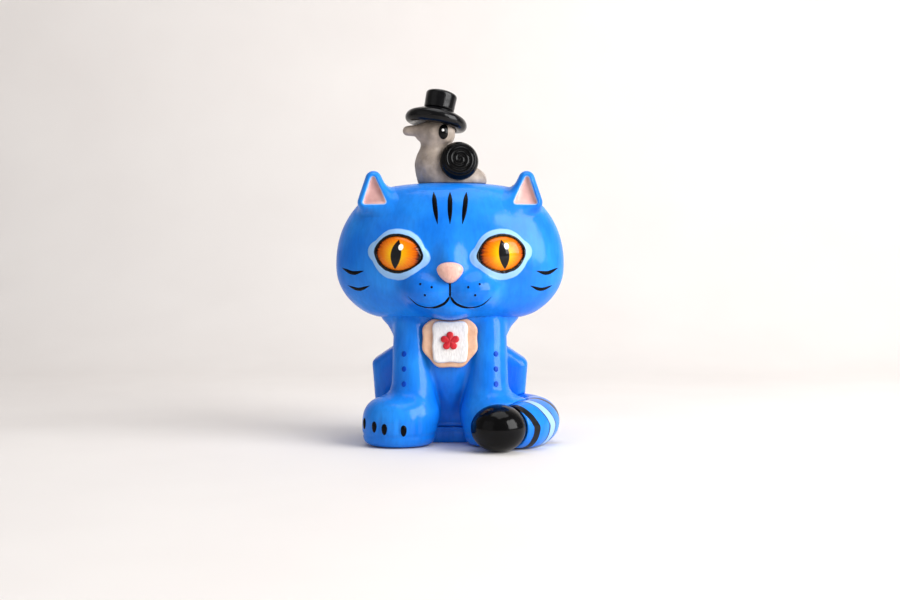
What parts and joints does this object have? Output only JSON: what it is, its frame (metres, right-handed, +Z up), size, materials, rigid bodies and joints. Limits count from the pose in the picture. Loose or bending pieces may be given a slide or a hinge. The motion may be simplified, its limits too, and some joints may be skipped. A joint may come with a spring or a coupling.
{
  "type": "painted cat figure",
  "caption": "Seated blue cat figure with a banded tail round its paw, a plaque on its chest, and a snail in a brimmed hat standing on its head.",
  "frame": {"origin": "middle of the neck's width on the underside of the plinth, at the level of the surface that the figure stands on", "axes": "+Z up, the figure's face towards -Y, +X to the viewer's right, which is the side that the tail lies on"},
  "size_m": [0.1584, 0.1192, 0.2453],
  "materials": {
    "blue_casting": "gloss",
    "black_gloss": "gloss",
    "black_clay": "satin",
    "grey_clay": "satin",
    "sand_clay": "satin",
    "white_paint": "satin",
    "red_paint": "satin",
    "pink_paint": "satin",
    "amber_eye": "gloss",
    "dowel": "matte"
  },
  "bodies": {
    "root": {"base_plinth": "blue_casting", "body_shell": "blue_casting", "head_shell": "blue_casting", "eye_left": "amber_eye", "eye_right": "amber_eye", "nose": "pink_paint", "ear_left": "blue_casting", "ear_pin_left": "dowel", "ear_right": "blue_casting", "ear_pin_right": "dowel", "tail": "blue_casting", "tail_tip": "black_gloss", "tail_pin": "dowel", "tail_tip_pin": "dowel", "plaque": "sand_clay", "plaque_pin": "dowel", "tile": "white_paint", "flower": "red_paint", "snail_body": "grey_clay", "snail_shell": "black_gloss", "snail_eye_front": "black_gloss", "snail_eye_back": "black_gloss", "snail_pin": "dowel", "hat_brim": "black_clay", "hat_crown": "black_clay", "hat_pin": "dowel"}
  },
  "joints": []
}
